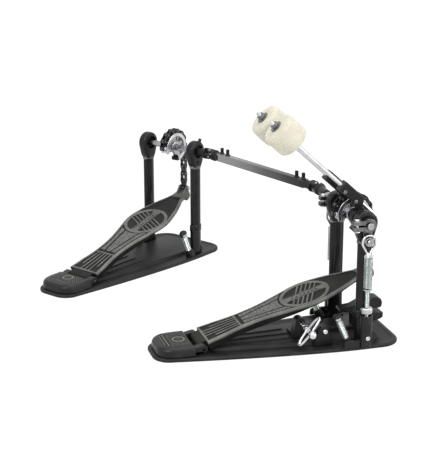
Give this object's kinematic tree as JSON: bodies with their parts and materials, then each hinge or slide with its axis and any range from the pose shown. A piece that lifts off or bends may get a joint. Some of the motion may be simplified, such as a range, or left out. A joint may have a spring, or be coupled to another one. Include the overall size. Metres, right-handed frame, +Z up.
{
  "type": "double bass drum pedal",
  "caption": "Double bass drum pedal: two chain-driven footboards on steel base plates, a jointed drive shaft between them, and twin felt beaters with return springs and a hoop clamp.",
  "frame": {"origin": "on the floor, straight below the middle of the main pedal's axle, on the underside of its base plate", "axes": "+X to the main pedal's right along its axle, +Y from heel to toe, +Z up"},
  "size_m": [0.6213, 0.4763, 0.3495],
  "materials": {
    "black_casting": "satin black coat on die castings",
    "base_black": "matte black powder coat",
    "board_grey": "charcoal coat with worn grey raised edges",
    "cast_silver": "polished casting",
    "chrome": "polished",
    "zinc": "bright zinc plate",
    "steel": "ground",
    "dark_chain": "dark oiled steel",
    "felt": "pressed cream felt"
  },
  "bodies": {
    "stand": {"main_base": "base_black", "slave_base": "base_black", "main_heel_block": "black_casting", "slave_heel_block": "black_casting", "main_post_left": "black_casting", "main_post_right": "black_casting", "slave_post_left": "black_casting", "slave_post_right": "black_casting", "main_cap_left": "black_casting", "main_cap_right": "black_casting", "slave_cap_left": "black_casting", "slave_cap_right": "black_casting", "main_bearing_left": "steel", "main_bearing_right": "steel", "slave_bearing_left": "steel", "slave_bearing_right": "steel", "left_spring_bracket": "black_casting", "right_spring_bracket": "black_casting", "hoop_clamp_frame": "black_casting"},
    "main_board": {"main_footboard": "board_grey", "main_hinge_pin": "steel", "main_chain_hook": "board_grey"},
    "slave_board": {"slave_footboard": "board_grey", "slave_hinge_pin": "steel", "slave_chain_hook": "board_grey"},
    "main_axle_set": {"main_axle": "steel", "main_cam": "cast_silver", "main_chain_wrap": "dark_chain", "right_hub": "black_casting", "right_rocker": "black_casting"},
    "slave_axle_set": {"slave_axle": "steel", "slave_cam": "cast_silver", "slave_chain_wrap": "dark_chain"},
    "left_shaft_set": {"left_shaft": "steel", "left_hub": "black_casting", "left_rocker": "black_casting"},
    "main_chain": {"main_chain_drop": "dark_chain"},
    "slave_chain": {"slave_chain_drop": "dark_chain"},
    "link": {"link_tube": "black_casting", "link_rod": "black_casting"},
    "slave_spider": {"slave_cross": "steel"},
    "main_spider": {"main_cross": "steel"},
    "right_beater": {"right_beater_rod": "chrome", "right_felt": "felt"},
    "left_beater": {"left_beater_rod": "chrome", "left_felt": "felt"},
    "right_spring_foot": {"right_tension_rod": "zinc", "right_spring": "zinc"},
    "left_spring_foot": {"left_tension_rod": "zinc", "left_spring": "zinc"},
    "right_spring_head": {"right_spring_loop": "chrome"},
    "left_spring_head": {"left_spring_loop": "chrome"},
    "right_nut": {"right_tension_nut": "chrome"},
    "left_nut": {"left_tension_nut": "chrome"},
    "clamp_jaw": {"hoop_clamp_jaw": "black_casting"},
    "wing": {"wing_screw": "chrome"},
    "main_left_spur": {"main_spur_left": "zinc"},
    "main_right_spur": {"main_spur_right": "zinc"},
    "slave_left_spur": {"slave_spur_left": "zinc"},
    "slave_right_spur": {"slave_spur_right": "zinc"}
  },
  "joints": [
    {"name": "main_footboard_hinge", "type": "hinge", "parent": "stand", "child": "main_board", "pos_m": [0, -0.235, 0.0125], "axis": [1, 0, 0], "range_deg": [-4.8, 0], "stiffness_Nm_per_rad": 20, "springref_deg": 8.59},
    {"name": "slave_footboard_hinge", "type": "hinge", "parent": "stand", "child": "slave_board", "pos_m": [-0.32588, -0.34497, 0.0125], "axis": [0.8211, 0.5707, 0], "range_deg": [-4.8, 0], "stiffness_Nm_per_rad": 20, "springref_deg": 8.59},
    {"name": "main_axle_turn", "type": "hinge", "parent": "stand", "child": "main_axle_set", "pos_m": [0, 0, 0.19], "axis": [1, 0, 0], "range_deg": [-48.5, 1]},
    {"name": "slave_axle_turn", "type": "hinge", "parent": "stand", "child": "slave_axle_set", "pos_m": [-0.46, -0.152, 0.19], "axis": [0.8211, 0.5707, 0], "range_deg": [-48.5, 1]},
    {"name": "left_shaft_turn", "type": "hinge", "parent": "stand", "child": "left_shaft_set", "pos_m": [0, 0, 0.19], "axis": [1, 0, 0], "range_deg": [-46.5, 1]},
    {"name": "main_chain_swing", "type": "hinge", "parent": "main_axle_set", "child": "main_chain", "pos_m": [0, 0.0261, 0.20146], "axis": [1, 0, 0], "range_deg": [-1, 52]},
    {"name": "slave_chain_swing", "type": "hinge", "parent": "slave_axle_set", "child": "slave_chain", "pos_m": [-0.47489, -0.13057, 0.20146], "axis": [0.8211, 0.5707, 0], "range_deg": [-1, 52]},
    {"name": "link_turn", "type": "hinge", "parent": "stand", "child": "link", "pos_m": [-0.3861, -0.10064, 0.19], "axis": [0.9267, 0.3759, 0], "range_deg": [-49.5, 1]},
    {"name": "slave_spider_swing", "type": "hinge", "parent": "slave_axle_set", "child": "slave_spider", "pos_m": [-0.3861, -0.10064, 0.19], "axis": [-0.5226, 0.7519, 0.4019], "range_deg": [-1, 11.5]},
    {"name": "main_spider_swing", "type": "hinge", "parent": "left_shaft_set", "child": "main_spider", "pos_m": [-0.138, 0, 0.19], "axis": [0, 0.923, 0.3849], "range_deg": [-19, 1]},
    {"name": "right_beater_height", "type": "slide", "parent": "main_axle_set", "child": "right_beater", "axis": [0, -0.7361, 0.6769], "range_m": [-0.015, 0.01]},
    {"name": "left_beater_height", "type": "slide", "parent": "left_shaft_set", "child": "left_beater", "axis": [0, -0.7361, 0.6769], "range_m": [-0.015, 0.01]},
    {"name": "right_spring_tilt", "type": "hinge", "parent": "stand", "child": "right_spring_foot", "pos_m": [0.071, 0, 0.0555], "axis": [1, 0, 0], "range_deg": [-1, 9.5]},
    {"name": "left_spring_tilt", "type": "hinge", "parent": "stand", "child": "left_spring_foot", "pos_m": [-0.071, 0, 0.0555], "axis": [1, 0, 0], "range_deg": [-1, 9.5]},
    {"name": "right_spring_stretch", "type": "slide", "parent": "right_spring_foot", "child": "right_spring_head", "axis": [0, 0, 1], "range_m": [-0.0005, 0.0095], "deforming": ["right_spring"]},
    {"name": "left_spring_stretch", "type": "slide", "parent": "left_spring_foot", "child": "left_spring_head", "axis": [0, 0, 1], "range_m": [-0.0005, 0.0095], "deforming": ["left_spring"]},
    {"name": "right_nut_turn", "type": "hinge", "parent": "right_spring_foot", "child": "right_nut", "pos_m": [0.071, 0, 0.062], "axis": [0, 0, 1], "continuous": true},
    {"name": "left_nut_turn", "type": "hinge", "parent": "left_spring_foot", "child": "left_nut", "pos_m": [-0.071, 0, 0.062], "axis": [0, 0, 1], "continuous": true},
    {"name": "wing_screw_turn", "type": "hinge", "parent": "stand", "child": "wing", "pos_m": [0, -0.084, 0.0335], "axis": [1, 0, 0], "range_deg": [0, 360]},
    {"name": "clamp_jaw_hinge", "type": "hinge", "parent": "stand", "child": "clamp_jaw", "pos_m": [0, 0.02, 0.041], "axis": [1, 0, 0], "range_deg": [-0.5, 10.5]},
    {"name": "main_left_spur_travel", "type": "slide", "parent": "stand", "child": "main_left_spur", "axis": [0, -0.4056, 0.9141], "range_m": [0, 0.01]},
    {"name": "main_right_spur_travel", "type": "slide", "parent": "stand", "child": "main_right_spur", "axis": [0, -0.4056, 0.9141], "range_m": [0, 0.01]},
    {"name": "slave_left_spur_travel", "type": "slide", "parent": "stand", "child": "slave_left_spur", "axis": [0.2315, -0.333, 0.9141], "range_m": [0, 0.01]},
    {"name": "slave_right_spur_travel", "type": "slide", "parent": "stand", "child": "slave_right_spur", "axis": [0.2315, -0.333, 0.9141], "range_m": [0, 0.01]}
  ],
  "couplings": [
    {"joint": "main_axle_turn", "follows": "main_footboard_hinge", "ratio": 9.875},
    {"joint": "main_chain_swing", "follows": "main_footboard_hinge", "ratio": -10.625},
    {"joint": "right_spring_tilt", "follows": "main_footboard_hinge", "ratio": -1.85},
    {"joint": "right_spring_stretch", "follows": "main_footboard_hinge", "m_per_rad": -0.10027},
    {"joint": "slave_axle_turn", "follows": "slave_footboard_hinge", "ratio": 9.875},
    {"joint": "slave_chain_swing", "follows": "slave_footboard_hinge", "ratio": -10.625},
    {"joint": "slave_spider_swing", "follows": "slave_footboard_hinge", "ratio": -2.1604},
    {"joint": "link_turn", "follows": "slave_footboard_hinge", "ratio": 10.096},
    {"joint": "main_spider_swing", "follows": "slave_footboard_hinge", "ratio": 3.6979},
    {"joint": "left_shaft_turn", "follows": "slave_footboard_hinge", "ratio": 9.4313},
    {"joint": "left_spring_tilt", "follows": "slave_footboard_hinge", "ratio": -1.7979},
    {"joint": "left_spring_stretch", "follows": "slave_footboard_hinge", "m_per_rad": -0.091912},
    {"joint": "clamp_jaw_hinge", "follows": "wing_screw_turn", "ratio": 0.027778}
  ]
}
